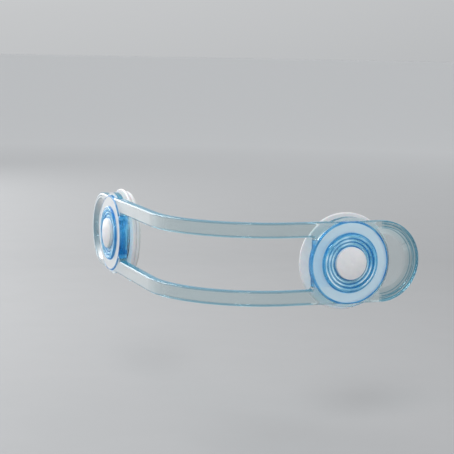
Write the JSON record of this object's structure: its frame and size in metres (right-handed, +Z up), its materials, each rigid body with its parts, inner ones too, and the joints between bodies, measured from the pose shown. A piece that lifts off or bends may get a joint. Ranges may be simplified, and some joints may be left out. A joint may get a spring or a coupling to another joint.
{
  "type": "cabinet safety lock",
  "caption": "Clear strap lock that wraps a cabinet corner, with a round push-button head on a swivel adhesive anchor at each end.",
  "frame": {"origin": "centre of the door anchor's adhesive face", "axes": "+X along the door away from the cabinet's corner, +Y out of the adhesive face into the cabinet, +Z up across the strap"},
  "size_m": [0.1165, 0.153, 0.044],
  "materials": {
    "clear_strap": "clear moulded, slightly green",
    "blue_clear": "translucent blue",
    "white_plastic": "semi-gloss white",
    "ring_clear": "clear, slightly blue",
    "acetal": "satin natural",
    "foam_tape": "matt foam",
    "spring_steel": "bright wire"
  },
  "bodies": {
    "door_anchor": {"door_pad": "foam_tape", "door_mount_plate": "white_plastic", "door_base_disc": "white_plastic", "door_glide_ring": "ring_clear"},
    "door_swivel_post": {"door_post": "acetal"},
    "strap_and_heads": {"strap": "clear_strap", "door_hub": "blue_clear", "door_back_plate": "blue_clear", "door_latch_ring": "blue_clear", "door_button_spring": "spring_steel", "side_hub": "blue_clear", "side_back_plate": "blue_clear", "side_latch_ring": "blue_clear", "side_button_spring": "spring_steel"},
    "door_push_button": {"door_button": "white_plastic", "door_plunger": "blue_clear"},
    "side_push_button": {"side_button": "white_plastic", "side_plunger": "blue_clear"},
    "side_swivel_post": {"side_post": "acetal"},
    "side_anchor": {"side_pad": "foam_tape", "side_mount_plate": "white_plastic", "side_base_disc": "white_plastic", "side_glide_ring": "ring_clear"}
  },
  "joints": [
    {"name": "door_swivel", "type": "hinge", "parent": "door_anchor", "child": "door_swivel_post", "pos_m": [0, 0, 0], "axis": [0, -1, 0], "continuous": true},
    {"name": "door_lift_off", "type": "slide", "parent": "door_swivel_post", "child": "strap_and_heads", "axis": [0, -1, 0], "range_m": [0, 0.01]},
    {"name": "door_button_press", "type": "slide", "parent": "strap_and_heads", "child": "door_push_button", "axis": [0, 1, 0], "range_m": [0, 0.0012], "stiffness_N_per_m": 2500, "springref_m": -0.0008, "deforming": ["door_button_spring", "door_latch_ring"]},
    {"name": "side_button_press", "type": "slide", "parent": "strap_and_heads", "child": "side_push_button", "axis": [1, 0, 0], "range_m": [0, 0.0012], "stiffness_N_per_m": 2500, "springref_m": -0.0008, "deforming": ["side_button_spring", "side_latch_ring"]},
    {"name": "side_lift_off", "type": "slide", "parent": "strap_and_heads", "child": "side_swivel_post", "axis": [1, 0, 0], "range_m": [0, 0.01]},
    {"name": "side_swivel", "type": "hinge", "parent": "side_swivel_post", "child": "side_anchor", "pos_m": [-0.0684, 0.1049, 0], "axis": [-1, 0, 0], "continuous": true}
  ]
}
